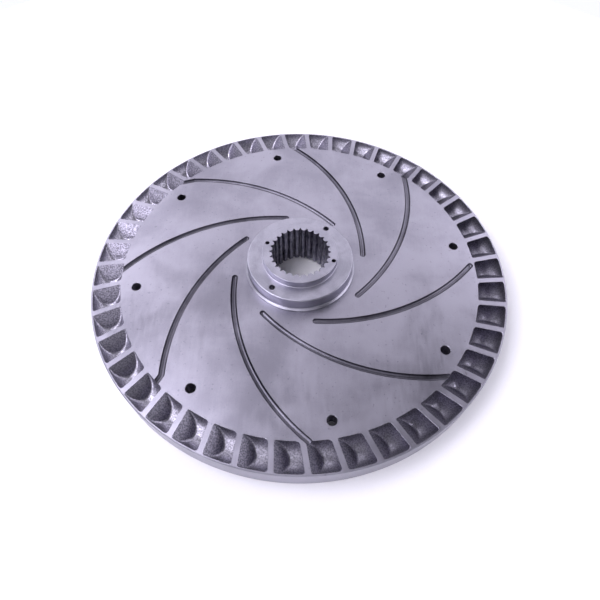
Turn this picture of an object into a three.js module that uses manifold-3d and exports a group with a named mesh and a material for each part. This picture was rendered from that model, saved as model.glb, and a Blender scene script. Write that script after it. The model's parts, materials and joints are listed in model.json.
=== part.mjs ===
// A cast flywheel with a ring of slanted vane pockets, driven through a splined hub.
// Lengths are millimetres and angles are degrees. +Z is the shaft axis and points out of the
// pocketed face. z = 0 is the plane that the rim stands on.

import * as THREE from 'three';
import { mergeVertices } from 'three/addons/utils/BufferGeometryUtils.js';
import Module from 'manifold-3d';

// ---------------------------------------------------------------- driving dimensions

const disc = { radius: 210, height: 25, edge: 1, webThickness: 16 };
const recess = { outerRadius: 174, draft: 3 };

const pockets = {
  count: 43,
  innerRadius: 181.6,
  outerRadius: 208.2,
  depth: 13.1,
  vaneThickness: 5.4,
  vaneSlope: 43, // how far a vane leans over from upright, along the rim
  vaneLean: 8.5, // how far a vane's top edge turns from a radius
  vaneOverlap: 3, // how far the solid that leaves a vane standing reaches past the trough
  firstVane: 4.3,
};

const boltHoles = { count: 8, circleRadius: 166, radius: 4.7, first: 10.4 };

const grooves = {
  count: 8,
  width: 5.5,
  depth: 3,
  arcRadius: 204.6,
  arcCentreRadius: 140.4,
  firstArcCentre: 170.9,
  innerEnd: 67.8,
  outerEnd: 182,
};
// Three grooves end in a way of their own: one stops short, and two turn into a pocket.
const shortGroove = { index: 6, outerEnd: 177 };
const turnedGrooves = [
  { index: 1, leavesArcAt: 175, endRadius: 184, endAngle: 140.8 },
  { index: 3, leavesArcAt: 174.5, endRadius: 184.5, endAngle: 226.6 },
];

const hub = {
  foot: 2.5,
  nose: 48.3,
  boreRootRadius: 30,
  boreTipRadius: 28,
  spigotRadius: 36,
  bossRadius: 37.8,
  flangeTop: 40.2,
  flangeRadius: 53.4,
  flangeShoulder: 1.2,
  flangeFootRadius: 55.8,
  filletHeight: 3.5,
  edge: 0.6,
};

const spline = { teeth: 28, firstSpace: 0.5, spaceHalfAngleAtTip: 4.2, spaceHalfAngleAtRoot: 1.6 };

const pullerHoles = { count: 2, circleRadius: 34.8, radius: 2, depth: 14, first: 162.3 };
const dowels = {
  count: 2,
  circleRadius: 46.3,
  radius: 2.5,
  holeRadius: 2.8,
  top: 32,
  bottom: 9.6,
  first: 55,
};

const screws = {
  count: 6,
  circleRadius: 46.3,
  first: 25,
  shankRadius: 4,
  shankTop: 34.5,
  tappedRadius: 4.3,
  tappedTop: 36.5,
  clearanceRadius: 4.5,
  headRadius: 6.5,
  headHeight: 8,
  socketAcrossFlats: 6,
  socketDepth: 4,
};

const gap = 0.3; // between pieces that bear on each other
const past = 1; // how far a cutter runs past the face it opens

// Straight sides that stand for each round shape.
const sides = {
  rim: pockets.count * 2,
  trough: 7,
  grooveArc: 10,
  grooveEnd: 6,
  boltHole: 14,
  hub: 64,
  smallHole: 12,
  screwHole: 16,
  shank: 16,
  head: 24,
};

const webUnderside = disc.height - disc.webThickness;

// ---------------------------------------------------------------- materials

const castIron = new THREE.MeshStandardMaterial({ color: 0x8f8f98, roughness: 0.42, metalness: 0.9 });
const hubSteel = new THREE.MeshStandardMaterial({ color: 0x9a9aa3, roughness: 0.35, metalness: 0.95 });
const blackSteel = new THREE.MeshStandardMaterial({ color: 0x26272a, roughness: 0.5, metalness: 0.8 });
const pinSteel = new THREE.MeshStandardMaterial({ color: 0xb4b5b8, roughness: 0.2, metalness: 1 });

// ---------------------------------------------------------------- solids

const wasm = await Module();
wasm.setup();

function toSolid(geometry) {
  const bare = geometry.clone();
  bare.deleteAttribute('normal');
  bare.deleteAttribute('uv');
  const merged = mergeVertices(bare, 1e-4);
  const vertProperties = Float32Array.from(merged.attributes.position.array);
  const triVerts = Uint32Array.from(merged.index.array);
  return new wasm.Manifold(new wasm.Mesh({ numProp: 3, vertProperties, triVerts }));
}

function toGeometry(solid) {
  const { vertProperties, triVerts } = solid.getMesh();
  const geometry = new THREE.BufferGeometry();
  geometry.setAttribute('position', new THREE.BufferAttribute(vertProperties, 3));
  geometry.setIndex(new THREE.BufferAttribute(triVerts, 1));
  geometry.computeVertexNormals();
  return geometry;
}

const cutAll = (solid, cutters) => cutters.reduce((left, cutter) => left.subtract(cutter), solid);

// ---------------------------------------------------------------- shape helpers

const radians = THREE.MathUtils.degToRad;
const range = (count) => [...Array(count).keys()];
const polar = (radius, angle) =>
  new THREE.Vector2(radius * Math.cos(radians(angle)), radius * Math.sin(radians(angle)));

// A closed outline of [radius, height] points, counter-clockwise, turned about the shaft axis.
function turned(outline, segments) {
  const points = [...outline, outline[0]].map(([radius, height]) => new THREE.Vector2(radius, height));
  return new THREE.LatheGeometry(points, segments).rotateX(Math.PI / 2);
}

// The centre of piece or hole i in a ring of them.
const placeOf = (pattern, i) =>
  polar(pattern.circleRadius, pattern.first + (360 * i) / pattern.count);

function roundBar(radius, from, to, centre, segments) {
  const bar = new THREE.CylinderGeometry(radius, radius, to - from, segments).rotateX(Math.PI / 2);
  return bar.translate(centre.x, centre.y, (from + to) / 2);
}

function slab(shape, from, to, curveSegments) {
  const options = { depth: to - from, bevelEnabled: false, curveSegments };
  return new THREE.ExtrudeGeometry(shape, options).translate(0, 0, from);
}

// ---------------------------------------------------------------- disc casting

// A half-round trough round the rim, open at the top face.
function troughOutline() {
  const middle = (pockets.innerRadius + pockets.outerRadius) / 2;
  const halfWidth = (pockets.outerRadius - pockets.innerRadius) / 2;
    const bottom = range(sides.trough + 1).map((i) => {
    const angle = Math.PI + (Math.PI * i) / sides.trough;
    return [middle + halfWidth * Math.cos(angle), disc.height + pockets.depth * Math.sin(angle)];
  });
  const top = disc.height + past;
  return [[pockets.innerRadius, top], ...bottom, [pockets.outerRadius, top]];
}

// One vane: a parallelogram across the trough that leans over as it goes down.
function vane(angle) {
  const middle = (pockets.innerRadius + pockets.outerRadius) / 2;
  const halfLength = (pockets.outerRadius - pockets.innerRadius) / 2 + pockets.vaneOverlap;
  const slope = Math.tan(radians(pockets.vaneSlope));
  const top = past * 2;
  const bottom = -pockets.depth - past;
  const half = pockets.vaneThickness / 2;
  const section = new THREE.Shape([
    new THREE.Vector2(-half - bottom * slope, bottom),
    new THREE.Vector2(half - bottom * slope, bottom),
    new THREE.Vector2(half - top * slope, top),
    new THREE.Vector2(-half - top * slope, top),
  ]);
  const along = new THREE.Vector3(...polar(1, angle + 90), 0);
  const across = new THREE.Vector3(...polar(1, angle + pockets.vaneLean), 0);
  const place = new THREE.Matrix4().makeBasis(along, new THREE.Vector3(0, 0, 1), across);
  place.setPosition(...polar(middle, angle), disc.height);
  return slab(section, -halfLength, halfLength, 1).applyMatrix4(place);
}

function pocketCores() {
  const trough = toSolid(turned(troughOutline(), sides.rim));
  const vanes = range(pockets.count).map((i) => {
    return toSolid(vane(pockets.firstVane + (360 * i) / pockets.count));
  });
  return cutAll(trough, vanes);
}

// The angle about a groove's arc centre at which the arc is `radius` away from the shaft axis.
function arcAngleAt(radius) {
  const { arcRadius, arcCentreRadius } = grooves;
  const cosine =
    (radius ** 2 - arcCentreRadius ** 2 - arcRadius ** 2) / (2 * arcCentreRadius * arcRadius);
  return -THREE.MathUtils.radToDeg(Math.acos(cosine));
}

function arcGroove(centreAngle, outerEnd) {
  const centre = polar(grooves.arcCentreRadius, centreAngle);
  const start = radians(centreAngle + arcAngleAt(grooves.innerEnd));
  const end = radians(centreAngle + arcAngleAt(outerEnd));
  const half = grooves.width / 2;
  const endPoint = (angle) => new THREE.Vector2(
    centre.x + grooves.arcRadius * Math.cos(angle),
    centre.y + grooves.arcRadius * Math.sin(angle),
  );
  const shape = new THREE.Shape();
  shape.absarc(centre.x, centre.y, grooves.arcRadius + half, start, end, false);
  shape.absarc(endPoint(end).x, endPoint(end).y, half, end, end + Math.PI, false);
  shape.absarc(centre.x, centre.y, grooves.arcRadius - half, end, start, true);
  shape.absarc(endPoint(start).x, endPoint(start).y, half, start + Math.PI, start + 2 * Math.PI, false);
  return slab(shape, disc.height - grooves.depth, disc.height + past, sides.grooveArc);
}

function straightGroove(from, to) {
  const along = new THREE.Vector2().subVectors(to, from);
  const angle = along.angle();
  const half = grooves.width / 2;
  const shape = new THREE.Shape();
  shape.absarc(to.x, to.y, half, angle - Math.PI / 2, angle + Math.PI / 2, false);
  shape.absarc(from.x, from.y, half, angle + Math.PI / 2, angle + (3 * Math.PI) / 2, false);
  return slab(shape, disc.height - grooves.depth, disc.height + past, sides.grooveEnd);
}

function grooveCutters() {
  const cutters = [];
  for (const i of range(grooves.count)) {
    const centreAngle = grooves.firstArcCentre + (360 * i) / grooves.count;
    const turn = turnedGrooves.find((each) => each.index === i);
    let { outerEnd } = i === shortGroove.index ? shortGroove : grooves;
    if (turn) {
      outerEnd = turn.leavesArcAt;
      const leaves = polar(grooves.arcRadius, centreAngle + arcAngleAt(outerEnd))
        .add(polar(grooves.arcCentreRadius, centreAngle));
      cutters.push(toSolid(straightGroove(leaves, polar(turn.endRadius, turn.endAngle))));
    }
    cutters.push(toSolid(arcGroove(centreAngle, outerEnd)));
  }
  return cutters;
}

function ringOfHoles(pattern, radius, from, to, segments) {
  return range(pattern.count).map((i) => {
    const centre = placeOf(pattern, i);
    return toSolid(roundBar(radius, from, to, centre, segments));
  });
}

function discCasting() {
  const { radius, height, edge } = disc;
  const seat = hub.spigotRadius + gap;
  const blank = turned(
    [
      [seat, webUnderside],
      [recess.outerRadius - recess.draft, webUnderside],
      [recess.outerRadius, 0],
      [radius - edge, 0],
      [radius, edge],
      [radius, height - edge],
      [radius - edge, height],
      [seat, height],
    ],
    sides.rim,
  );
  return cutAll(toSolid(blank), [
    pocketCores(),
    ...grooveCutters(),
    ...ringOfHoles(boltHoles, boltHoles.radius, webUnderside - past, height + past, sides.boltHole),
    ...ringOfHoles(screws, screws.clearanceRadius, webUnderside - past, height + past, sides.screwHole),
    ...ringOfHoles(dowels, dowels.holeRadius, webUnderside - past, height + past, sides.smallHole),
  ]);
}

// ---------------------------------------------------------------- splined hub

// The bore's outline: a flat-topped tooth and a narrowing space for each tooth of the spline.
function splineShape() {
  const pitch = 360 / spline.teeth;
  const points = range(spline.teeth).flatMap((i) => {
    const middle = spline.firstSpace + i * pitch;
    return [
      polar(hub.boreTipRadius, middle - spline.spaceHalfAngleAtTip),
      polar(hub.boreRootRadius, middle - spline.spaceHalfAngleAtRoot),
      polar(hub.boreRootRadius, middle + spline.spaceHalfAngleAtRoot),
      polar(hub.boreTipRadius, middle + spline.spaceHalfAngleAtTip),
    ];
  });
  return new THREE.Shape(points);
}

function splinedHub() {
  const seat = disc.height + gap;
  const core = hub.boreTipRadius - 4; // inside the bore, where the spline cutter clears it all away
  const { flangeRadius, flangeTop, flangeShoulder, flangeFootRadius, filletHeight, edge } = hub;
  const blank = turned(
    [
      [core, hub.foot],
      [hub.spigotRadius - edge, hub.foot],
      [hub.spigotRadius, hub.foot + edge],
      [hub.spigotRadius, seat],
      [flangeFootRadius, seat],
      [flangeRadius + edge, seat + filletHeight / 2],
      [flangeRadius, seat + filletHeight],
      [flangeRadius, flangeTop - flangeShoulder],
      [flangeRadius - flangeShoulder * 0.3, flangeTop - flangeShoulder * 0.3],
      [flangeRadius - flangeShoulder, flangeTop],
      [hub.bossRadius + edge, flangeTop],
      [hub.bossRadius, flangeTop + edge],
      [hub.bossRadius, hub.nose - edge],
      [hub.bossRadius - edge, hub.nose],
      [core, hub.nose],
    ],
    sides.hub,
  );
  return cutAll(toSolid(blank), [
    toSolid(slab(splineShape(), hub.foot - past, hub.nose + past, 1)),
    ...ringOfHoles(pullerHoles, pullerHoles.radius, hub.nose - pullerHoles.depth, hub.nose + past,
      sides.smallHole),
    ...ringOfHoles(dowels, dowels.holeRadius, seat - past, flangeTop + past, sides.smallHole),
    ...ringOfHoles(screws, screws.tappedRadius, seat - past, screws.tappedTop, sides.screwHole),
  ]);
}

// ---------------------------------------------------------------- screws and dowels

// Head down, standing on its own axis: the head bears on the underside of the web.
function hubScrew() {
  const headTop = webUnderside - gap;
  const headBottom = headTop - screws.headHeight;
  const origin = new THREE.Vector2();
  const head = toSolid(roundBar(screws.headRadius, headBottom, headTop, origin, sides.head));
  const shank = toSolid(roundBar(screws.shankRadius, headTop - past, screws.shankTop, origin, sides.shank));
  const cornerRadius = screws.socketAcrossFlats / Math.sqrt(3);
  const hexagon = 6;
  const socketTop = headBottom + screws.socketDepth;
  const socket = roundBar(cornerRadius, headBottom - past, socketTop, origin, hexagon);
  return head.add(shank).subtract(toSolid(socket));
}

// ---------------------------------------------------------------- assembly

const flywheel = new THREE.Group();

function addPiece(name, geometry, material, place = new THREE.Vector2()) {
  const mesh = new THREE.Mesh(geometry, material);
  mesh.name = name;
  mesh.position.set(place.x, place.y, 0);
  flywheel.add(mesh);
}

addPiece('disc_casting', toGeometry(discCasting()), castIron);
addPiece('splined_hub', toGeometry(splinedHub()), hubSteel);

const screwGeometry = toGeometry(hubScrew());
for (const i of range(screws.count)) {
  addPiece(`hub_screw_${i + 1}`, screwGeometry, blackSteel, placeOf(screws, i));
}

const dowelGeometry = roundBar(dowels.radius, dowels.bottom, dowels.top, new THREE.Vector2(), sides.shank);
for (const i of range(dowels.count)) {
  addPiece(`dowel_pin_${i + 1}`, dowelGeometry, pinSteel, placeOf(dowels, i));
}

export default flywheel;
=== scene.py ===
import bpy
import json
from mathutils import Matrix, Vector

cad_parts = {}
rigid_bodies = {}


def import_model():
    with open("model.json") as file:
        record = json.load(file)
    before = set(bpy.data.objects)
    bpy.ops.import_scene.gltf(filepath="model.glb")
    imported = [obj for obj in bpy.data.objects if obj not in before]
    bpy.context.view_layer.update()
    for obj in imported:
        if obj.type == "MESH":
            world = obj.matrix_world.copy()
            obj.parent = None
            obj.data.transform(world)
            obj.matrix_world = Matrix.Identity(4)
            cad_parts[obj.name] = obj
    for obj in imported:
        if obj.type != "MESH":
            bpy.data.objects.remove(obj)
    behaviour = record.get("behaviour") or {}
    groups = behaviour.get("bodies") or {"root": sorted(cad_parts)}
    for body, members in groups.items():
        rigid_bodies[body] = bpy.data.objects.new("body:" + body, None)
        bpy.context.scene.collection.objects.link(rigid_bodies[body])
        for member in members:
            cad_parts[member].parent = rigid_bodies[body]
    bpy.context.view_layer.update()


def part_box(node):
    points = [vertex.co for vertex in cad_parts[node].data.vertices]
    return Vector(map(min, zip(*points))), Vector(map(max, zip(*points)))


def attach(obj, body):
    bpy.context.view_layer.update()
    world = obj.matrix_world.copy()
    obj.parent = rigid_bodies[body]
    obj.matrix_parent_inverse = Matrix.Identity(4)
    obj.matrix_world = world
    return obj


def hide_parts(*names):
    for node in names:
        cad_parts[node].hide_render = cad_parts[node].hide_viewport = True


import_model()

# %% [markdown]
# Blender measures in metres, and a maker in millimetres. Lengths are written in millimetres and
# multiplied by MM, so that they can be compared with a drawing.
# %% Import what the cells use
import json
import math

import bmesh
import bpy
from mathutils import Matrix, Vector

MM = 0.001
UP = Vector((0, 0, 1))
WHOLE_TURN = 2 * math.pi
print("one millimetre is", MM, "metres")

# %% [markdown]
# The frame gives the sizes that other sizes follow from: the disc's radius and thickness, the
# web's underside, and how far the hub reaches to either side. A lathe-faceted part is a polygon,
# so its true radius is the distance of its furthest point and not half of its width along X.
# %% Read the driving sizes from the frame
_, disc_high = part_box("disc_casting")
hub_low, hub_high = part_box("splined_hub")
screw_low, screw_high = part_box("hub_screw_1")
pin_low, pin_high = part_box("dowel_pin_1")

DISC_RADIUS = disc_high.y
FACE = disc_high.z
WEB_THICKNESS, FLANGE_HEIGHT = 16 * MM, 15.2 * MM
WEB_UNDERSIDE, FLANGE_TOP = FACE - WEB_THICKNESS, FACE + FLANGE_HEIGHT
HUB_FOOT, HUB_NOSE = hub_low.z, hub_high.z
print(f"disc radius {DISC_RADIUS / MM:.1f} mm, face at {FACE / MM:.1f} mm")
print(f"hub from {HUB_FOOT / MM:.1f} to {HUB_NOSE / MM:.1f} mm")

# %% [markdown]
# ## Tools for turned parts
# Almost every surface here was made on a lathe, so the main tool is an outline of corner points
# that is spun about an axis. A corner can be given a rounding, which the bevel operator makes on
# the outline before it is spun: that costs a few vertices, where bevelling the finished solid
# would have to follow every edge round the part.
# %% Draw an outline and spin it

CORNER_SEGMENTS = 4
SAME_POINT, NO_LENGTH = 0.002 * MM, 0.001 * MM


def outline(bm, corners, closed=True):
    """Joins (radius, height, rounding) corners with edges in the XZ plane, and rounds them."""
    verts = [bm.verts.new((radius, 0, height)) for radius, height, *_ in corners]
    for a, b in zip(verts, verts[1:]):
        bm.edges.new((a, b))
    if closed:
        bm.edges.new((verts[-1], verts[0]))
    for vert, (_, _, *rounding) in zip(verts, corners):
        if rounding:
            bmesh.ops.bevel(bm, geom=[vert], offset=rounding[0], offset_type="OFFSET",
                            segments=CORNER_SEGMENTS, profile=0.5, affect="VERTICES", material=-1)


def spin_round(bm, steps):
    """Turns the whole outline once about the Z axis and closes the surface."""
    bmesh.ops.spin(bm, geom=bm.edges[:], cent=(0, 0, 0), axis=UP, angle=WHOLE_TURN, steps=steps,
                   use_merge=True)
    tidy(bm)


def tidy(bm):
    """Merges doubled points, drops faces that have no area, and points the normals out."""
    bmesh.ops.remove_doubles(bm, verts=bm.verts[:], dist=SAME_POINT)
    bmesh.ops.dissolve_degenerate(bm, edges=bm.edges[:], dist=NO_LENGTH)
    bmesh.ops.recalc_face_normals(bm, faces=bm.faces[:])


def turned(corners, steps):
    """A solid of revolution: corners is a closed outline, or one that starts and ends on the axis."""
    bm = bmesh.new()
    on_axis = corners[0][0] == 0 and corners[-1][0] == 0
    outline(bm, corners, closed=not on_axis)
    spin_round(bm, steps)
    return bm


# %% [markdown]
# Most details of the wheel repeat round a ring: pockets, grooves, bolt holes, spline spaces. One
# is modelled and the rest are copies, each turned or moved by a matrix. Copies and different
# shapes are gathered in one bmesh, so that one Boolean cuts them all.
# %% Copy a shape round a ring, gather shapes, and make an object


def polar(radius, angle, height=0.0):
    return Vector((radius * math.cos(angle), radius * math.sin(angle), height))


def ring_angles(count, first_degrees):
    return [math.radians(first_degrees) + WHOLE_TURN * i / count for i in range(count)]


def placed(shape, matrices):
    """One bmesh that holds a copy of shape for each matrix."""
    mesh = bpy.data.meshes.new("copied_shape")
    shape.to_mesh(mesh)
    together = bmesh.new()
    for matrix in matrices:
        before = len(together.verts)
        together.from_mesh(mesh)
        together.verts.ensure_lookup_table()
        bmesh.ops.transform(together, matrix=matrix, verts=together.verts[before:])
    bpy.data.meshes.remove(mesh)
    return together


def joined(shapes):
    """One bmesh that holds all the shapes."""
    together = bmesh.new()
    for shape in shapes:
        mesh = bpy.data.meshes.new("joined_shape")
        shape.to_mesh(mesh)
        together.from_mesh(mesh)
        bpy.data.meshes.remove(mesh)
    return together


def paint(bm, slot):
    """Every face of the shape takes the material in this slot of the piece it becomes part of."""
    for face in bm.faces:
        face.material_index = slot
    return bm


def make_object(name, bm, *materials):
    """An object at the origin whose material slots are the materials given, in their order."""
    mesh = bpy.data.meshes.new(name)
    bm.to_mesh(mesh)
    bm.free()
    for material in materials:
        mesh.materials.append(material)
    piece = bpy.data.objects.new(name, mesh)
    bpy.context.scene.collection.objects.link(piece)
    return piece


# %% [markdown]
# Pockets, grooves, holes and the spline are all metal taken away, so each is modelled as the
# missing solid and cut out with a Boolean modifier, the way a cutter or a core shapes the real
# part. The exact solver keeps each cut face's material slot, which is how the cast pockets and
# the machined face get their own finishes. A piece therefore has its materials before it is cut.
# The result is baked into a plain mesh, and the weighted normals keep the broad flat faces flat
# right up to their small rounded edges.
# %% Cut shapes out of a piece and smooth what is left

SMOOTH_BELOW = math.radians(32)
FLAT_FACES_ONLY = 100


def cut(piece, *shapes):
    """Takes the shapes away from the piece, one after another."""
    for number, shape in enumerate(shapes):
        cutter = make_object(f"{piece.name}_cutter_{number}", shape)
        boolean = piece.modifiers.new(f"cut_{number}", "BOOLEAN")
        boolean.operation = "DIFFERENCE"
        boolean.solver = "EXACT"
        boolean.material_mode = "INDEX"
        boolean.object = cutter
    bake_modifiers(piece)
    for number in range(len(shapes)):
        cutter = bpy.data.objects[f"{piece.name}_cutter_{number}"]
        bpy.data.meshes.remove(cutter.data)


def bake_modifiers(piece):
    """Replaces the piece's mesh by what its modifiers make of it, and removes them."""
    depsgraph = bpy.context.evaluated_depsgraph_get()
    baked = bpy.data.meshes.new_from_object(piece.evaluated_get(depsgraph))
    piece.modifiers.clear()
    old, piece.data = piece.data, baked
    bpy.data.meshes.remove(old)
    baked.name = piece.name


def smooth_finish(piece, below=SMOOTH_BELOW):
    piece.data.shade_smooth()
    piece.data.set_sharp_from_angle(angle=below)
    weighted = piece.modifiers.new("flat_faces_stay_flat", "WEIGHTED_NORMAL")
    weighted.keep_sharp = True
    weighted.weight = FLAT_FACES_ONLY
    bake_modifiers(piece)
    piece.data.calc_loop_triangles()
    print(f"{piece.name}: {len(piece.data.loop_triangles)} triangles")


# %% [markdown]
# ## Tools for finishes
# A finish is a small program of shader nodes. The Value class wraps one output socket, so that
# arithmetic on it reads as plain Python and adds the Math nodes by itself. Every other node is
# made by Program.node, which sets the node's own options first and then its inputs. A Finish is
# the program of one material.
# %% Wrap sockets so that shader maths reads as Python


class Value:
    """A number that changes over a surface, or with the direction in the room."""

    def __init__(self, program, socket):
        self.program, self.socket = program, socket

    def _math(self, operation, first, second):
        return self.program.node("ShaderNodeMath", {"operation": operation}, {0: first, 1: second})

    def __add__(self, other):
        return self._math("ADD", self, other)

    __radd__ = __add__

    def __sub__(self, other):
        return self._math("SUBTRACT", self, other)

    def __rsub__(self, other):
        return self._math("SUBTRACT", other, self)

    def __mul__(self, other):
        return self._math("MULTIPLY", self, other)

    __rmul__ = __mul__


class Program:
    """A node tree that is written with node() and Value arithmetic."""

    def __init__(self, tree):
        self.tree = tree

    def node(self, kind, settings=None, inputs=None, output=0):
        made = self.tree.nodes.new(kind)
        for key, setting in (settings or {}).items():
            setattr(made, key, setting)
        for key, value in (inputs or {}).items():
            self.feed(made.inputs[key], value)
        return Value(self, made.outputs[output])

    def feed(self, socket, value):
        if isinstance(value, Value):
            self.tree.links.new(value.socket, socket)
        elif isinstance(value, (tuple, list)) and len(value) == 3 and socket.type == "RGBA":
            socket.default_value = (*value, 1)
        else:
            socket.default_value = value


class Finish(Program):
    """A material's program. Its patterns are drawn on the object's own coordinates."""

    def __init__(self, name):
        self.material = bpy.data.materials.new(name)
        self.material.use_nodes = True
        super().__init__(self.material.node_tree)
        self.shader = self.tree.nodes["Principled BSDF"]
        self.place = self.node("ShaderNodeTexCoord", output="Object")

    def surface(self, **inputs):
        """Feeds the shader: base_color=... goes to Base Color, and so on."""
        for name, value in inputs.items():
            self.feed(self.shader.inputs[name.replace("_", " ").title()], value)
        return self.material


# %% [markdown]
# The finishes share a few patterns. Noise gives clouds, grain and speckle, depending on its size,
# and noise that depends only on the distance from the shaft gives the rings of a lathe tool.
# %% Patterns that several finishes share


def noise(finish, size, detail=3.0, place=None, distortion=0.0):
    """Cloudy noise from about 0 to 1, with blobs of the given size in metres."""
    return finish.node("ShaderNodeTexNoise", {"noise_dimensions": "3D"},
                       {"Vector": place or finish.place, "Scale": 1 / size, "Detail": detail,
                        "Distortion": distortion})


def spread(program, value, low, high, out_low=0.0, out_high=1.0):
    """Stretches the part of value from low to high over out_low to out_high, and clamps the rest."""
    return program.node("ShaderNodeMapRange", {"clamp": True, "interpolation_type": "SMOOTHSTEP"},
                        {"Value": value, "From Min": low, "From Max": high,
                         "To Min": out_low, "To Max": out_high})


def mix(finish, amount, first, second):
    """A colour between first, where amount is 0, and second, where it is 1."""
    return finish.node("ShaderNodeMix", {"data_type": "RGBA", "clamp_factor": True},
                       {"Factor": amount, 6: first, 7: second}, output=2)


def squash(finish, factors):
    """The object's coordinates, multiplied along each axis: a small factor draws a pattern out."""
    return finish.node("ShaderNodeVectorMath", {"operation": "MULTIPLY"},
                       {0: finish.place, 1: factors})


def distance_from_shaft(finish):
    flat = squash(finish, (1, 1, 0))
    return finish.node("ShaderNodeVectorMath", {"operation": "LENGTH"}, {0: flat},
                       output="Value")


def turning_marks(finish, spacing):
    """Fine rings about the shaft axis, as a lathe tool leaves them, from about 0 to 1."""
    return finish.node("ShaderNodeTexNoise", {"noise_dimensions": "1D"},
                       {"W": distance_from_shaft(finish), "Scale": 1 / spacing, "Detail": 2.0})


def bumped(finish, height, depth):
    """A normal for a surface whose height, from 0 to 1, stands for depth in metres."""
    return finish.node("ShaderNodeBump", {},
                       {"Strength": 1.0, "Distance": depth, "Height": height})


# %% [markdown]
# ## Iron, machined bright
# The face was turned and then rubbed with abrasive cloth, so it is a satin grey that is cloudy rather
# than streaky. Noise of several sizes makes it: wide clouds, small stains, the strokes of the cloth,
# the fine speckle of graphite in cast iron, and a few small dark pits. The turning marks are only
# just there, in the bump. The grooves are milled and have no such marks, and the darker grey painted
# into them is painted shade.
# %% Make the machined iron

PIT_COVER, PIT_SHADE = 0.35, 0.45
ROUGHNESS_RANGE = 0.06


def machined_iron(name, light, dark, roughness, marks):
    finish = Finish(name)
    clouds = noise(finish, 62 * MM, 3.0, distortion=0.4)
    stains = noise(finish, 9 * MM, 3.0, distortion=0.4)
    strokes = noise(finish, 2.2 * MM, 3.0, place=squash(finish, (1, 0.16, 1)))
    speckle = noise(finish, 1.3 * MM, 2.0)
    rings = turning_marks(finish, 1.1 * MM)
    shade = spread(finish, clouds * 0.72 + stains * 0.10 + strokes * 0.10 + speckle * 0.08,
                   0.34, 0.66)
    pits = spread(finish, noise(finish, 3.2 * MM, 2.0), 0.66, 0.74)
    colour = mix(finish, shade, dark, light)
    colour = mix(finish, pits * PIT_COVER, colour, tuple(PIT_SHADE * x for x in dark))
    rough = spread(finish, clouds * 0.6 + strokes * 0.4, 0.3, 0.7,
                   roughness - ROUGHNESS_RANGE, roughness + ROUGHNESS_RANGE)
    height = rings * marks + strokes * 0.2 + speckle * 0.25 + stains * 0.08
    return finish.surface(base_color=colour, roughness=rough, metallic=1.0,
                          normal=bumped(finish, height, 0.05 * MM))


bright_iron = machined_iron("bright_iron", light=(0.40, 0.388, 0.455), dark=(0.28, 0.272, 0.325),
                            roughness=0.36, marks=0.5)
# The grooves' darker grey is painted shade in the milled grooves.
groove_iron_painted_shade = machined_iron("groove_iron_painted_shade", light=(0.19, 0.184, 0.22), dark=(0.08, 0.077, 0.095),
                            roughness=0.34, marks=0.0)
print("nodes in the machined iron", len(bright_iron.node_tree.nodes))

# %% [markdown]
# ## Iron, as it left the sand
# Inside the pockets the skin of the casting is left alone. The troughs were blasted smoother and
# glint, while the flats of the vanes keep a coarser sand grain and a darker grey, partly that grain
# and partly painted shade, and the recess behind is
# dull. All three are the same program with different numbers: noise is the height of the grains,
# their tops are a lighter grey, and on a few of them a painted glint, a light grey that stands for a
# highlight, is painted into the colour.
# %% Make the cast iron finishes

# The light grey of the painted glints, which stand for highlights.
PAINTED_GLINT_GREY = (0.85, 0.85, 0.88)


def cast_iron(name, light, dark, grain, depth, roughness, painted_glint):
    finish = Finish(name)
    grains = noise(finish, grain, 2.0)
    patches = noise(finish, 9 * MM, 2.0)
    crumbs = spread(finish, grains, 0.38, 0.66)
    colour = mix(finish, crumbs * 0.8 + patches * 0.2, dark, light)
    # A few grains get a painted glint: a light grey painted into the colour as a highlight.
    painted_glints = spread(finish, noise(finish, grain * 0.8, 1.0), 0.6, 0.72)
    colour = mix(finish, painted_glints * painted_glint, colour, PAINTED_GLINT_GREY)
    rough = spread(finish, grains, 0.3, 0.7, roughness + 0.12, roughness - 0.05)
    return finish.surface(base_color=colour, roughness=rough, metallic=1.0,
                          normal=bumped(finish, grains, depth))


trough_iron = cast_iron("trough_iron", light=(0.48, 0.465, 0.54), dark=(0.22, 0.212, 0.25),
                        grain=1.3 * MM, depth=0.14 * MM, roughness=0.36, painted_glint=0.2)
# The vanes' darker grey is partly their coarser sand grain and partly painted shade.
vane_iron_and_painted_shade = cast_iron("vane_iron_and_painted_shade", light=(0.43, 0.413, 0.50), dark=(0.17, 0.162, 0.20),
                      grain=1.4 * MM, depth=0.17 * MM, roughness=0.38, painted_glint=0.15)
skin_iron = cast_iron("skin_iron", light=(0.30, 0.30, 0.31), dark=(0.17, 0.17, 0.18),
                      grain=1.6 * MM, depth=0.22 * MM, roughness=0.55, painted_glint=0.05)
print("nodes in a cast finish", len(trough_iron.node_tree.nodes))

# %% [markdown]
# ## Steels of the hub, screws and pins
# The hub is turned steel with clear, fine tool rings. The broached spline has marks that run along
# the shaft instead, and its darker grey is painted shade in the bore and between the teeth. The
# screws are blackened and the pins are ground.
# %% Make the steels


def turned_steel(name, light, dark, roughness):
    """Steel with the fine rings of a lathe tool."""
    finish = Finish(name)
    rings = turning_marks(finish, 0.55 * MM)
    clouds = noise(finish, 16 * MM, 4.0, distortion=0.5)
    speckle = noise(finish, 1.1 * MM, 2.0)
    shade = spread(finish, clouds * 0.6 + rings * 0.25 + speckle * 0.15, 0.36, 0.62)
    rough = spread(finish, clouds, 0.3, 0.7, roughness - 0.05, roughness + 0.07)
    return finish.surface(base_color=mix(finish, shade, dark, light), roughness=rough, metallic=1.0,
                          normal=bumped(finish, rings * 0.7 + speckle * 0.3, 0.03 * MM))


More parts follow.
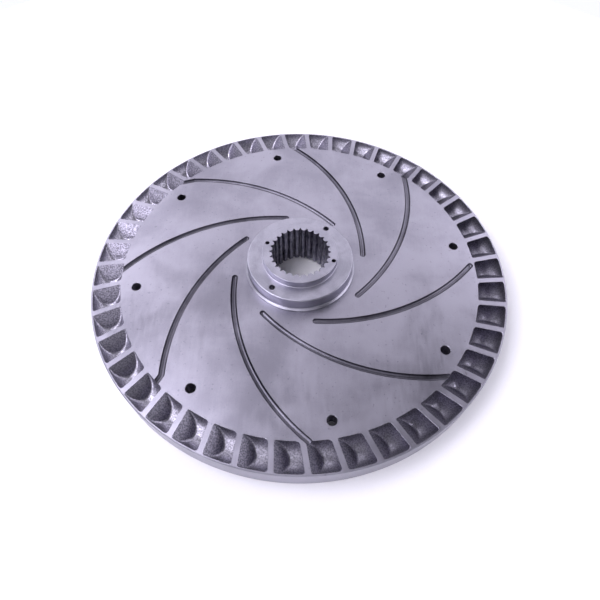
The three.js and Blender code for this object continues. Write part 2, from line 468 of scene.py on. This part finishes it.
def drawn_steel(name, light, dark, roughness):
    """Steel with fine marks along the shaft axis."""
    finish = Finish(name)
    streaks = noise(finish, 0.5 * MM, 2.0, place=squash(finish, (1, 1, 0.04)))
    clouds = noise(finish, 5 * MM, 3.0)
    shade = spread(finish, streaks * 0.6 + clouds * 0.4, 0.35, 0.65)
    rough = spread(finish, streaks, 0.3, 0.7, roughness - 0.05, roughness + 0.08)
    return finish.surface(base_color=mix(finish, shade, dark, light), roughness=rough, metallic=1.0,
                          normal=bumped(finish, streaks, 0.03 * MM))


def black_oxide():
    """The black skin of a screw, worn through to grey in places."""
    finish = Finish("black_oxide")
    worn = spread(finish, noise(finish, 1.6 * MM, 4.0, distortion=0.5), 0.56, 0.72)
    haze = noise(finish, 4 * MM, 3.0)
    colour = mix(finish, worn * 0.5, (0.025, 0.026, 0.03), (0.2, 0.2, 0.21))
    rough = spread(finish, haze, 0.3, 0.7, 0.34, 0.5)
    return finish.surface(base_color=colour, roughness=rough, metallic=0.7,
                          normal=bumped(finish, haze, 0.02 * MM))


hub_steel = turned_steel("hub_steel", light=(0.445, 0.435, 0.505), dark=(0.335, 0.33, 0.39),
                         roughness=0.36)
# The spline's dark grey is painted shade in the bore and between the teeth, and its streaks are the
# broach marks.
spline_steel_painted_shade = drawn_steel("spline_steel_painted_shade", light=(0.36, 0.352, 0.42), dark=(0.09, 0.087, 0.115),
                           roughness=0.33)
pin_steel = drawn_steel("pin_steel", light=(0.7, 0.7, 0.71), dark=(0.55, 0.55, 0.57),
                        roughness=0.2)
screw_black = black_oxide()
print("materials so far", [material.name for material in bpy.data.materials])

# %% [markdown]
# ## The disc
# The casting is one turned outline: a flat face, a rim with small chamfers, and a shallow recess
# behind, with the rounded inside corner that a pattern needs so that the sand does not break. It
# is spun in six steps for each pocket, so that every pocket meets the facets in the same way.
# %% Turn the disc blank

POCKETS = 43
DISC_STEPS = POCKETS * 6
EDGE = 1.0 * MM
HUB_SEAT_RADIUS = 36.3 * MM
RECESS_RADIUS, RECESS_DRAFT, RECESS_FILLET = 174 * MM, 3 * MM, 5 * MM
MACHINED_SEAT = 62 * MM
BRIGHT, TROUGH, VANE, GROOVE, SKIN = range(5)

disc_corners = [
    (HUB_SEAT_RADIUS, WEB_UNDERSIDE, 0.4 * MM),
    (RECESS_RADIUS - RECESS_DRAFT, WEB_UNDERSIDE, RECESS_FILLET),
    (RECESS_RADIUS, 0, 1.2 * MM),
    (DISC_RADIUS - EDGE, 0),
    (DISC_RADIUS, EDGE),
    (DISC_RADIUS, FACE - EDGE),
    (DISC_RADIUS - EDGE, FACE),
    (HUB_SEAT_RADIUS, FACE, 0.3 * MM),
]
disc = turned(disc_corners, DISC_STEPS)
for face in disc.faces:
    middle = face.calc_center_median()
    underneath = middle.z < WEB_UNDERSIDE + 0.1 * MM and face.normal.z < 0.5
    in_recess = MACHINED_SEAT < middle.xy.length < RECESS_RADIUS and underneath
    face.material_index = SKIN if in_recess else BRIGHT
print("disc blank faces", len(disc.faces))

# %% [markdown]
# A pocket is a length of half-round trough between two vanes that lean over along the rim. The
# missing solid starts as a ring of that trough, and two slanted planes cut it to length, just
# as the vanes do. Bevelled edges leave the fillets where each vane meets the trough. The mouth
# is cut off below the face and flared, so that the opening gets a fine broken edge.
# %% Shape one pocket

FIRST_VANE = 4.3
POCKET_INNER, POCKET_OUTER = 181.6 * MM, 208.2 * MM
POCKET_DEPTH = 13.1 * MM
VANE_THICKNESS = 5.4 * MM
VANE_SLOPE, VANE_LEAN = math.radians(43), math.radians(8.5)
BACK_FILLET, FRONT_FILLET = 1.4 * MM, 2.3 * MM
BROKEN_EDGE = 0.25 * MM
PAST = 1 * MM
TROUGH_SEGMENTS, TROUGH_STEPS = 44, 28
FACES_ALONG = 0.99

pocket_middle = (POCKET_INNER + POCKET_OUTER) / 2
pocket_half = (POCKET_OUTER - POCKET_INNER) / 2
pitch = WHOLE_TURN / POCKETS


def slice_and_cap(bm, point, away):
    """Cuts off what lies on the far side of a plane, and returns the face that closes the cut."""
    found = bmesh.ops.bisect_plane(bm, geom=bm.verts[:] + bm.edges[:] + bm.faces[:],
                                   dist=NO_LENGTH, plane_co=point, plane_no=away,
                                   clear_outer=True)
    rim = [each for each in found["geom_cut"] if isinstance(each, bmesh.types.BMEdge)]
    return bmesh.ops.edgeloop_fill(bm, edges=rim)["faces"][0]


def fillet(bm, flat, radius):
    """Rounds the edge between a flat end of a pocket and the trough."""
    bmesh.ops.bevel(bm, geom=flat.edges[:], offset=radius, offset_type="OFFSET", segments=3,
                    profile=0.5, affect="EDGES", material=-1)


def vane_plane(angle, side):
    """A point on a vane's flat, and its normal. side is 1 for the flat ahead and -1 behind."""
    along = polar(1, angle + math.pi / 2)
    across = polar(1, angle + VANE_LEAN)
    down = along * math.sin(VANE_SLOPE) - UP * math.cos(VANE_SLOPE)
    point = polar(pocket_middle, angle, FACE) + along * (side * VANE_THICKNESS / 2)
    return point, across.cross(down).normalized() * side


def pocket_core():
    """The metal missing in one pocket, between the vane at angle 0 and the next one."""
    bm = bmesh.new()
    bmesh.ops.create_circle(bm, segments=TROUGH_SEGMENTS, radius=1)
    bmesh.ops.scale(bm, vec=(pocket_half, POCKET_DEPTH, 1), verts=bm.verts[:])
    upright = Matrix.Translation((pocket_middle, 0, FACE)) @ Matrix.Rotation(math.pi / 2, 4, "X")
    bmesh.ops.transform(bm, matrix=Matrix.Rotation(-pitch, 4, "Z") @ upright, verts=bm.verts[:])
    bmesh.ops.spin(bm, geom=bm.edges[:], cent=(0, 0, 0), axis=UP, angle=4 * pitch,
                   steps=TROUGH_STEPS)
    back_point, back_normal = vane_plane(0, 1)
    front_point, front_normal = vane_plane(pitch, -1)
    back = slice_and_cap(bm, back_point, -back_normal)
    front = slice_and_cap(bm, front_point, -front_normal)
    bmesh.ops.recalc_face_normals(bm, faces=bm.faces[:])
    for face in bm.faces:
        face.material_index = TROUGH
    back.material_index = front.material_index = VANE
    fillet(bm, back, BACK_FILLET)
    vane_flats = [f for f in bm.faces if f.material_index == VANE]
    facing_back = [f for f in vane_flats if f.normal.dot(front_normal) < -FACES_ALONG]
    fillet(bm, max(facing_back, key=lambda f: f.calc_area()), FRONT_FILLET)
    mouth = slice_and_cap(bm, (0, 0, FACE - BROKEN_EDGE), UP)
    mouth.material_index = BRIGHT
    grown = bmesh.ops.extrude_face_region(bm, geom=[mouth])["geom"]
    rim = [each for each in grown if isinstance(each, bmesh.types.BMVert)]
    rise = BROKEN_EDGE + PAST
    flare = 1 + rise / pocket_half
    centre = mouth.calc_center_median()
    bmesh.ops.translate(bm, vec=UP * rise, verts=rim)
    bmesh.ops.scale(bm, vec=(flare, flare, 1), verts=rim, space=Matrix.Translation(-centre))
    if mouth.is_valid:
        bmesh.ops.delete(bm, geom=[mouth], context="FACES_ONLY")
    tidy(bm)
    return bm


core = pocket_core()
open_edges = sum(not edge.is_manifold for edge in core.edges)
print("pocket core faces", len(core.faces), "open edges", open_edges)
print("pocket volume", round(core.calc_volume() / MM**3), "cubic mm")
pocket_turns = [Matrix.Rotation(a, 4, "Z") for a in ring_angles(POCKETS, FIRST_VANE)]
pockets = placed(core, pocket_turns)

# %% [markdown]
# A groove is a round-bottomed slot with rounded ends, milled along an arc. Half of its outline,
# spun half a turn about an upright axis, makes one rounded end. The whole outline is then swept
# along the arc, and half of it is spun again to close the other end. One groove stops short, and
# two leave their arc near the rim and run straight into a pocket.
# %% Shape the grooves

GROOVES = 8
GROOVE_HALF_WIDTH, GROOVE_DEPTH, GROOVE_ROUNDING = 2.75 * MM, 3.0 * MM, 0.85
ARC_RADIUS, ARC_CENTRE_RADIUS, FIRST_ARC_CENTRE = 204.6 * MM, 140.4 * MM, 170.9
GROOVE_INNER_END, GROOVE_OUTER_END = 67.8 * MM, 182 * MM
ODD_OUTER_ENDS = {1: 175 * MM, 3: 174.5 * MM, 6: 177 * MM}
TURNED_ENDS = {1: (184 * MM, 140.8), 3: (184.5 * MM, 226.6)}
ARC_STEPS, STRAIGHT_STEPS, END_STEPS = 26, 2, 8
AHEAD = 0.0001 * MM


def swept_slot(angle, shift, steps):
    """A slot that starts at x = ARC_RADIUS and is swept about the Z axis, or along Y by shift."""
    bm = bmesh.new()
    flare = GROOVE_HALF_WIDTH + BROKEN_EDGE + PAST
    outline(bm, [
        (0, FACE - GROOVE_DEPTH),
        (GROOVE_HALF_WIDTH, FACE - GROOVE_DEPTH, GROOVE_HALF_WIDTH * GROOVE_ROUNDING),
        (GROOVE_HALF_WIDTH, FACE - BROKEN_EDGE),
        (flare, FACE + PAST),
        (0, FACE + PAST),
    ], closed=False)
    bmesh.ops.translate(bm, vec=(ARC_RADIUS, 0, 0), verts=bm.verts[:])
    outer_half = bm.edges[:]
    start_axis = Vector((ARC_RADIUS, 0, 0))
    turned_over = bmesh.ops.spin(bm, geom=outer_half, cent=start_axis, axis=UP, angle=-math.pi,
                                 steps=END_STEPS)
    inner_half = [e for e in turned_over["geom_last"] if isinstance(e, bmesh.types.BMEdge)]
    swept = bmesh.ops.spin(bm, geom=outer_half + inner_half, cent=(0, 0, 0), axis=UP, angle=angle,
                           steps=steps, dvec=Vector((0, shift / steps, 0)))
    last = [e for e in swept["geom_last"] if isinstance(e, bmesh.types.BMEdge)]
    end = Matrix.Rotation(angle, 4, "Z") @ start_axis + Vector((0, shift, 0))
    outward = (end - Vector((0, shift, 0))).normalized()

    def on_outer_side(edge):
        middle = sum((v.co for v in edge.verts), Vector()) / 2
        return (middle - end).dot(outward) > AHEAD

    last_outer = [e for e in last if on_outer_side(e)]
    bmesh.ops.spin(bm, geom=last_outer, cent=end, axis=UP, angle=math.pi, steps=END_STEPS)
    tidy(bm)
    return paint(bm, GROOVE)


def arc_angle_at(radius):
    """The angle about a groove's arc centre where the arc is this far from the shaft axis."""
    product = ARC_CENTRE_RADIUS * ARC_RADIUS
    return -math.acos((radius**2 - ARC_CENTRE_RADIUS**2 - ARC_RADIUS**2) / (2 * product))


def arc_ends(number):
    """The angles about the arc centre where the numbered groove starts and ends."""
    outer_end = ODD_OUTER_ENDS.get(number, GROOVE_OUTER_END)
    return arc_angle_at(GROOVE_INNER_END), arc_angle_at(outer_end)


def arc_slot(number):
    centre_angle = math.radians(FIRST_ARC_CENTRE) + WHOLE_TURN * number / GROOVES
    start, end = arc_ends(number)
    slot = swept_slot(end - start, 0, ARC_STEPS)
    place = Matrix.Translation(polar(ARC_CENTRE_RADIUS, centre_angle))
    bmesh.ops.transform(slot, matrix=place @ Matrix.Rotation(centre_angle + start, 4, "Z"),
                        verts=slot.verts[:])
    return slot


def straight_slot(number):
    """The last stretch of a groove that leaves its arc and runs straight into a pocket."""
    centre_angle = math.radians(FIRST_ARC_CENTRE) + WHOLE_TURN * number / GROOVES
    end_radius, end_degrees = TURNED_ENDS[number]
    angle = centre_angle + arc_ends(number)[1]
    leaves = polar(ARC_CENTRE_RADIUS, centre_angle) + polar(ARC_RADIUS, angle)
    run = polar(end_radius, math.radians(end_degrees)) - leaves
    slot = swept_slot(0, run.length, STRAIGHT_STEPS)
    turn = Matrix.Rotation(math.atan2(run.y, run.x) - math.pi / 2, 4, "Z")
    to_origin = Matrix.Translation((-ARC_RADIUS, 0, 0))
    bmesh.ops.transform(slot, matrix=Matrix.Translation(leaves) @ turn @ to_origin,
                        verts=slot.verts[:])
    return slot


arc_slots = joined(arc_slot(i) for i in range(GROOVES))
straight_slots = joined(straight_slot(i) for i in TURNED_ENDS)
slot_edges = arc_slots.edges[:] + straight_slots.edges[:]
print("groove open edges", sum(not edge.is_manifold for edge in slot_edges))

# %% [markdown]
# Every hole is a turned cutter with a small countersink at the faces it opens. Eight bolt holes
# go through the disc. The holes for the six screws and two pins lie hidden under the hub.
# %% Shape the holes and cut the disc

BOLT_HOLES = dict(count=8, circle=166 * MM, radius=4.7 * MM, first=10.4)
SCREWS = dict(count=6, circle=46.3 * MM, radius=4.5 * MM, first=25)
PINS = dict(count=2, circle=46.3 * MM, radius=2.8 * MM, first=55)
PULLER_HOLES = dict(count=2, circle=34.8 * MM, radius=2.0 * MM, first=162.3)
DRILL_POINT = math.radians(31)


def hole(radius, bottom, top, countersink, steps=36):
    """A through hole's missing solid, which flares at both faces and runs 1 mm past them."""
    flare = radius + countersink + PAST
    return turned([(0, bottom - PAST), (flare, bottom - PAST), (radius, bottom + countersink),
                   (radius, top - countersink), (flare, top + PAST), (0, top + PAST)], steps)


def blind_hole(radius, bottom, top, countersink, steps=28):
    """A drilled hole's missing solid, with the cone that a drill leaves at the bottom."""
    tip = radius * math.tan(DRILL_POINT)
    return turned([(0, bottom - tip), (radius, bottom), (radius, top - countersink),
                   (radius + countersink + PAST, top + PAST), (0, top + PAST)], steps)


def ring_of(shape, pattern):
    """Copies of a shape made on the shaft axis, moved out to the pattern's circle."""
    angles = ring_angles(pattern["count"], pattern["first"])
    return placed(shape, [Matrix.Translation(polar(pattern["circle"], a)) for a in angles])


disc_holes = joined([
    ring_of(hole(BOLT_HOLES["radius"], WEB_UNDERSIDE, FACE, 0.35 * MM), BOLT_HOLES),
    ring_of(hole(SCREWS["radius"], WEB_UNDERSIDE, FACE, 0.3 * MM), SCREWS),
    ring_of(hole(PINS["radius"], WEB_UNDERSIDE, FACE, 0.2 * MM), PINS),
])
cast_disc = make_object("cast_disc", disc, bright_iron, trough_iron, vane_iron_and_painted_shade, groove_iron_painted_shade,
                        skin_iron)
cut(cast_disc, pockets, arc_slots, straight_slots, paint(disc_holes, BRIGHT))
smooth_finish(cast_disc)
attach(cast_disc, "root")
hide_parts("disc_casting")

# %% [markdown]
# ## The hub
# The hub is turned too: a spigot that reaches through the disc, a broad flange with a rounded
# shoulder, a slightly wider foot, and a boss on top with a crisp edge. The spline is cut in two
# steps, as on a real bench: a bore to the tips of the teeth, then the twenty-eight spaces that a
# broach opens.
# %% Turn the hub and cut its bore

SPIGOT_RADIUS = 36 * MM
FLANGE_RADIUS, FLANGE_FOOT_RADIUS = 53.4 * MM, 55.8 * MM
FLANGE_SEAT = FACE + 0.3 * MM
FOOT_TOP, SLOPE_TOP = FLANGE_SEAT + 0.6 * MM, FLANGE_SEAT + 2.2 * MM
BOSS_RADIUS = 37.8 * MM
SHOULDER = 1.2 * MM
BORE_TIP, BORE_ROOT, BORE_CHAMFER = 28 * MM, 30.7 * MM, 0.3 * MM
SPACES, FIRST_SPACE = 28, 0.5
SPACE_INNER, SPACE_HALF_WIDTH, ROOT_HALF_WIDTH = 27 * MM, 2.3 * MM, 0.35 * MM
ROOT_ROUNDING = 0.12 * MM
SCREW_THREAD_HOLE, SCREW_HOLE_DEPTH, PULLER_DEPTH = 4.3 * MM, 11.2 * MM, 14 * MM
HUB_STEPS = 168
TURNED, BROACHED_AND_SHADED = range(2)

core_radius = BORE_TIP - 4 * MM
hub_blank = turned([
    (core_radius, HUB_FOOT),
    (SPIGOT_RADIUS, HUB_FOOT, 0.6 * MM),
    (SPIGOT_RADIUS, FLANGE_SEAT),
    (FLANGE_FOOT_RADIUS, FLANGE_SEAT),
    (FLANGE_FOOT_RADIUS, FOOT_TOP, 0.3 * MM),
    (FLANGE_RADIUS, SLOPE_TOP, SHOULDER),
    (FLANGE_RADIUS, FLANGE_TOP, SHOULDER),
    (BOSS_RADIUS, FLANGE_TOP, 0.9 * MM),
    (BOSS_RADIUS, HUB_NOSE, 0.5 * MM),
    (core_radius, HUB_NOSE),
], HUB_STEPS)


def spline_space():
    """The wedge of metal missing between two teeth, with rounded corners at its root."""
    bm = bmesh.new()
    bmesh.ops.create_cube(bm, size=1)
    height = HUB_NOSE - HUB_FOOT + 2 * PAST
    bmesh.ops.scale(bm, vec=(BORE_ROOT - SPACE_INNER, 2 * SPACE_HALF_WIDTH, height),
                    verts=bm.verts[:])
    middle = Vector(((SPACE_INNER + BORE_ROOT) / 2, 0, (HUB_NOSE + HUB_FOOT) / 2))
    bmesh.ops.translate(bm, vec=middle, verts=bm.verts[:])
    root = [v for v in bm.verts if v.co.x > BORE_TIP]
    bmesh.ops.scale(bm, vec=(1, ROOT_HALF_WIDTH / SPACE_HALF_WIDTH, 1), verts=root)
    root_edges = [e for e in bm.edges if all(v in root for v in e.verts)]
    upright = [e for e in root_edges if abs(e.verts[0].co.z - e.verts[1].co.z) > MM]
    bmesh.ops.bevel(bm, geom=upright, offset=ROOT_ROUNDING, offset_type="OFFSET", segments=2,
                    profile=0.5, affect="EDGES", material=-1)
    bmesh.ops.recalc_face_normals(bm, faces=bm.faces[:])
    return bm


bore = hole(BORE_TIP, HUB_FOOT, HUB_NOSE, BORE_CHAMFER, steps=SPACES * 4)
space_turns = [Matrix.Rotation(a, 4, "Z") for a in ring_angles(SPACES, FIRST_SPACE)]
spaces = placed(spline_space(), space_turns)
puller_hole = blind_hole(PULLER_HOLES["radius"], HUB_NOSE - PULLER_DEPTH, HUB_NOSE, 0.2 * MM)
screw_hole = blind_hole(SCREW_THREAD_HOLE, FLANGE_SEAT + SCREW_HOLE_DEPTH, FLANGE_SEAT - 2 * PAST,
                        0.3 * MM)
hub_holes = joined([
    ring_of(puller_hole, PULLER_HOLES),
    ring_of(hole(PINS["radius"], FLANGE_SEAT, FLANGE_TOP, 0.3 * MM), PINS),
    ring_of(screw_hole, SCREWS),
])
# The bore, the spline spaces and the holes in the hub all take the darker steel, which is painted
# shade in these hollows.
turned_hub = make_object("turned_hub", paint(hub_blank, TURNED), hub_steel, spline_steel_painted_shade)
cut(turned_hub, paint(bore, BROACHED_AND_SHADED), paint(spaces, BROACHED_AND_SHADED), paint(hub_holes, BROACHED_AND_SHADED))
smooth_finish(turned_hub)
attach(turned_hub, "root")
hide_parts("splined_hub")

# %% [markdown]
# ## Screws and pins
# Six socket-head screws hold the hub from behind and two ground pins locate it. A screw is
# turned in one outline with its thread as rings, knurled by drawing in every second column of
# points round the head, and its hexagon socket is cut last. Every screw stopped at another turn
# when it was tightened, so each is turned a little further than the one before.
# %% Make the screws

HEAD_TOP = WEB_UNDERSIDE - 0.3 * MM
HEAD_RADIUS, SHANK_RADIUS = 6.5 * MM, 4 * MM
HEAD_ROUNDING, SHANK_ROUNDING = 0.7 * MM, 0.3 * MM
THREAD_PITCH, THREAD_DEPTH, THREAD_END = 1.25 * MM, 0.6 * MM, 0.8 * MM
KNURL_COLUMNS, KNURL_DEPTH = 72, 0.2 * MM
KEY_SIZE, KEY_DEPTH = 6 * MM, 4 * MM
TIGHTENED_FURTHER = 2.4
SCREW_SMOOTH_BELOW = math.radians(24)


def screw_shape():
    bottom, top = screw_low.z, screw_high.z
    thread_start = HEAD_TOP + 4 * THREAD_PITCH
    turns = int((top - 1 * MM - thread_start) / THREAD_PITCH)
    corners = [(0, bottom), (HEAD_RADIUS, bottom, HEAD_ROUNDING),
               (HEAD_RADIUS, HEAD_TOP, SHANK_ROUNDING), (SHANK_RADIUS, HEAD_TOP, SHANK_ROUNDING)]
    for i in range(turns):
        crest = thread_start + i * THREAD_PITCH
        corners += [(SHANK_RADIUS, crest),
                    (SHANK_RADIUS - THREAD_DEPTH, crest + THREAD_PITCH / 2)]
    corners += [(SHANK_RADIUS - THREAD_END, top), (0, top)]
    bm = turned(corners, KNURL_COLUMNS)
    for vert in bm.verts:
        column = round(math.atan2(vert.co.y, vert.co.x) / WHOLE_TURN * KNURL_COLUMNS)
        on_side = abs(vert.co.xy.length - HEAD_RADIUS) < 0.05 * MM
        if on_side and column % 2:
            vert.co.xy *= 1 - KNURL_DEPTH / HEAD_RADIUS
    return bm


def hexagon_socket():
    bm = bmesh.new()
    corner_radius = KEY_SIZE / math.sqrt(3)
    bmesh.ops.create_cone(bm, cap_ends=True, segments=6, radius1=corner_radius,
                          radius2=corner_radius, depth=KEY_DEPTH + PAST)
    bmesh.ops.translate(bm, vec=UP * (screw_low.z + (KEY_DEPTH - PAST) / 2), verts=bm.verts[:])
    return bm


for i, angle in enumerate(ring_angles(SCREWS["count"], SCREWS["first"])):
    screw = make_object(f"socket_screw_{i + 1}", screw_shape(), screw_black)
    cut(screw, hexagon_socket())
    tightened = Matrix.Rotation(i * TIGHTENED_FURTHER, 4, "Z")
    screw.data.transform(Matrix.Translation(polar(SCREWS["circle"], angle)) @ tightened)
    smooth_finish(screw, SCREW_SMOOTH_BELOW)
    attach(screw, "root")
    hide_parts(f"hub_screw_{i + 1}")

# %% [markdown]
# A pin is a plain ground cylinder with rounded ends, so its outline has only four corners.
# %% Make the pins

PIN_RADIUS = (pin_high.x - pin_low.x) / 2
PIN_ROUNDING, PIN_STEPS = 0.8 * MM, 40

for i, angle in enumerate(ring_angles(PINS["count"], PINS["first"])):
    shape = turned([(0, pin_low.z), (PIN_RADIUS, pin_low.z, PIN_ROUNDING),
                    (PIN_RADIUS, pin_high.z, PIN_ROUNDING), (0, pin_high.z)], PIN_STEPS)
    bmesh.ops.translate(shape, vec=polar(PINS["circle"], angle), verts=shape.verts[:])
    pin = make_object(f"ground_pin_{i + 1}", shape, pin_steel)
    smooth_finish(pin)
    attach(pin, "root")
    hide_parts(f"dowel_pin_{i + 1}")

# %% [markdown]
# ## The table, the lights and the camera
# The wheel lies on a round white table. Its edge is hidden, because the table is lit as white as
# the background that it stands before.
# %% Lay the table

TABLE_RADIUS, TABLE_GAP = 0.75, 0.05 * MM

floor_shape = bmesh.new()
bmesh.ops.create_circle(floor_shape, cap_ends=True, segments=96, radius=TABLE_RADIUS)
paper = Finish("white_paper")
fibre = noise(paper, 3 * MM, 2.0)
white_paper = paper.surface(base_color=mix(paper, fibre, (0.93, 0.93, 0.95), (0.96, 0.96, 0.97)),
                            roughness=0.9)
floor = make_object("white_floor", floor_shape, white_paper)
floor.location.z = -TABLE_GAP
print("table radius", TABLE_RADIUS, "m")

# %% [markdown]
# Bare metal shows what it faces, so the lights are what shades the wheel. Ten soft panels of one
# size stand round it, most of them low. The strongest are on the left, those on the right are
# weaker, and those behind and in front are weaker still.
# %% Hang the lights

COOL = (0.98, 0.95, 1.07)
PANEL_SIZE, PANEL_DISTANCE = 0.9, 1.6
PANELS = {
    "left_high_panel": (90, 60, 14.2),
    "left_panel": (90, 32, 1.4),
    "left_front_panel": (135, 32, 11.1),
    "left_back_panel": (45, 32, 7.2),
    "back_panel": (0, 32, 3.4),
    "back_high_panel": (0, 60, 2.2),
    "right_back_panel": (-45, 32, 6.7),
    "right_panel": (-90, 32, 7.4),
    "front_panel": (180, 32, 1.7),
    "front_high_panel": (180, 60, 2.3),
}


def hang_panel(name, azimuth, elevation, power):
    """A soft panel that faces the hub. Azimuth 0 is behind the wheel and 90 is to its left."""
    light = bpy.data.lights.new(name, "AREA")
    light.shape, light.size, light.size_y = "RECTANGLE", PANEL_SIZE, PANEL_SIZE
    light.energy, light.color = power, COOL
    lamp = bpy.data.objects.new(name, light)
    a, e = math.radians(azimuth), math.radians(elevation)
    toward = Vector((-math.sin(a) * math.cos(e), math.cos(a) * math.cos(e), math.sin(e)))
    lamp.location = toward * PANEL_DISTANCE
    lamp.rotation_euler = toward.to_track_quat("Z", "Y").to_euler()
    bpy.context.scene.collection.objects.link(lamp)


for name, place_and_power in PANELS.items():
    hang_panel(name, *place_and_power)
print("panels", len(PANELS), "with", round(sum(power for _, _, power in PANELS.values()), 1), "W")

# %% [markdown]
# The room itself is nearly black overhead and pale near the horizon, so that the wheel's face is
# not black when it is seen from a low angle. The camera sees plain white behind the table.
# %% Light the room

ROOM_COLOUR = (0.93, 0.94, 1.0)
ROOM_DIM, ROOM_GLOW, ROOM_SEEN = 0.03, 0.55, 1.05
GLOW_FULL, GLOW_ENDS = math.sin(math.radians(12)), math.sin(math.radians(24))

world = bpy.data.worlds.new("pale_room")
bpy.context.scene.world = world
world.use_nodes = True
room = Program(world.node_tree)
direction = room.node("ShaderNodeTexCoord", output="Generated")
height = room.node("ShaderNodeSeparateXYZ", {}, {"Vector": direction}, output="Z")
glow = spread(room, height, GLOW_FULL, GLOW_ENDS, ROOM_GLOW, ROOM_DIM)
seen = room.node("ShaderNodeLightPath", output="Is Camera Ray")
background = world.node_tree.nodes["Background"]
room.feed(background.inputs["Color"], ROOM_COLOUR)
room.feed(background.inputs["Strength"], seen * ROOM_SEEN + (1 - seen) * glow)
bpy.context.scene.view_settings.view_transform = "Standard"
print("nodes in the room", len(world.node_tree.nodes))

# %% [markdown]
# The camera looks down on the wheel from the front. Its distance and aim are given in disc radii,
# so the picture keeps its framing if the wheel's size changes.
# %% Aim the camera

CAMERA_ELEVATION, CAMERA_ROLL = math.radians(57.14), math.radians(1.09)
CAMERA_DISTANCE = 2.2589 * DISC_RADIUS
AIM = Vector((0.0034 * DISC_RADIUS, -0.2009 * DISC_RADIUS, FACE))
SENSOR_WIDTH, FOCAL_LENGTH = 36, 28.85

camera_data = bpy.data.cameras.new("camera")
camera_data.sensor_width, camera_data.lens = SENSOR_WIDTH, FOCAL_LENGTH
camera_data.clip_start = 10 * MM
camera = bpy.data.objects.new("camera", camera_data)
back = Vector((0, -math.cos(CAMERA_ELEVATION), math.sin(CAMERA_ELEVATION)))
camera.location = AIM + back * CAMERA_DISTANCE
facing = back.to_track_quat("Z", "Y").to_matrix().to_4x4()
camera.rotation_euler = (facing @ Matrix.Rotation(CAMERA_ROLL, 4, "Z")).to_euler()
bpy.context.scene.collection.objects.link(camera)
bpy.context.scene.camera = camera
print("camera at", [round(x, 3) for x in camera.location])
